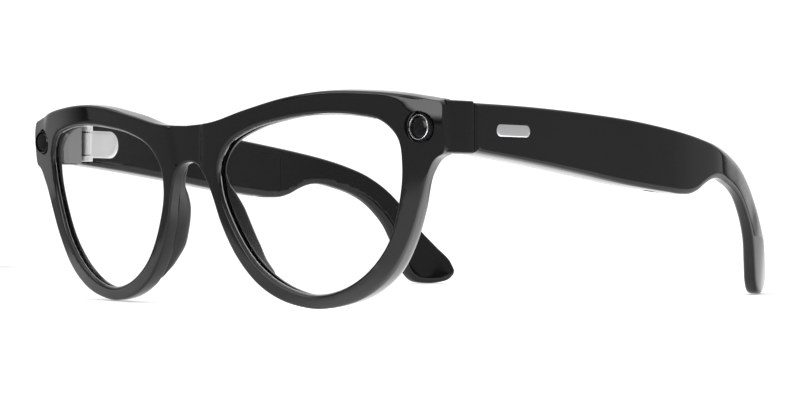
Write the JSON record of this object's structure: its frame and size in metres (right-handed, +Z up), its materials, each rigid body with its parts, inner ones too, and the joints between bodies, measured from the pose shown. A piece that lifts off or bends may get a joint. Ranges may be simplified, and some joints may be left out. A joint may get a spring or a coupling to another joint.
{
  "type": "smart glasses",
  "caption": "Camera glasses with clear lenses: a curved plastic front with a camera and a light in its end pieces, and folding temples that hold the electronics.",
  "frame": {"origin": "middle of the width and of the depth, on the table that the rims and the temple tips stand on", "axes": "+Z up, -Y the way the wearer looks, +X towards the wearer's left; the open temples run back along +Y"},
  "size_m": [0.15, 0.1598, 0.049],
  "materials": {
    "gloss_black": "polished black acetate-like plastic",
    "satin_black": "satin moulded black plastic",
    "clear_lens": "clear, coated",
    "chrome": "polished and lightly brushed",
    "gold_plate": "gold plated",
    "circuit_board": "solder mask over laminate",
    "foil": "dull foil or sheet",
    "grey_metal": "fine brushed",
    "amber_film": "thin film cable"
  },
  "bodies": {
    "front": {"front_frame": "gloss_black", "lens_left": "clear_lens", "lens_right": "clear_lens", "nose_pad_left": "gloss_black", "nose_pad_right": "gloss_black", "bridge_cover": "satin_black", "brow_cover_left": "satin_black", "brow_cover_right": "satin_black", "front_flex_cable": "amber_film", "charge_contact_left": "gold_plate", "charge_contact_right": "gold_plate", "bridge_microphone": "foil", "camera_bezel": "gloss_black", "camera_ring": "chrome", "camera_window": "clear_lens", "camera_module": "satin_black", "camera_board": "circuit_board", "led_bezel": "gloss_black", "led_window": "clear_lens", "led_board": "circuit_board", "end_cover_left": "satin_black", "end_cover_right": "satin_black", "hinge_front_left": "chrome", "hinge_front_right": "chrome", "hinge_screw_left": "chrome", "hinge_screw_right": "chrome"},
    "temple_left": {"temple_shell_left": "gloss_black", "temple_cover_left": "satin_black", "hinge_rear_left": "chrome", "temple_inlay_left": "grey_metal", "power_board": "circuit_board", "battery": "foil", "speaker_left": "satin_black", "microphone_left": "foil", "temple_flex_left": "amber_film"},
    "temple_right": {"temple_shell_right": "gloss_black", "temple_cover_right": "satin_black", "hinge_rear_right": "chrome", "temple_inlay_right": "grey_metal", "main_board": "circuit_board", "processor_shield": "foil", "touch_sensor": "amber_film", "button_switch": "foil", "speaker_right": "satin_black", "microphone_right": "foil", "temple_flex_right": "amber_film"},
    "capture_button": {"capture_button": "gloss_black"},
    "power_switch": {"power_switch": "satin_black"}
  },
  "joints": [
    {"name": "temple_left_fold", "type": "hinge", "parent": "front", "child": "temple_left", "pos_m": [0.0639, -0.05758, 0.04], "axis": [0, 0, 1], "range_deg": [0, 90]},
    {"name": "temple_right_fold", "type": "hinge", "parent": "front", "child": "temple_right", "pos_m": [-0.0639, -0.05758, 0.04], "axis": [0, 0, -1], "range_deg": [0, 78]},
    {"name": "capture_button_press", "type": "slide", "parent": "temple_right", "child": "capture_button", "axis": [0, 0, -1], "range_m": [0, 0.00035], "stiffness_N_per_m": 400},
    {"name": "power_switch_slide", "type": "slide", "parent": "temple_left", "child": "power_switch", "axis": [0, 1, 0], "range_m": [0, 0.003]}
  ]
}
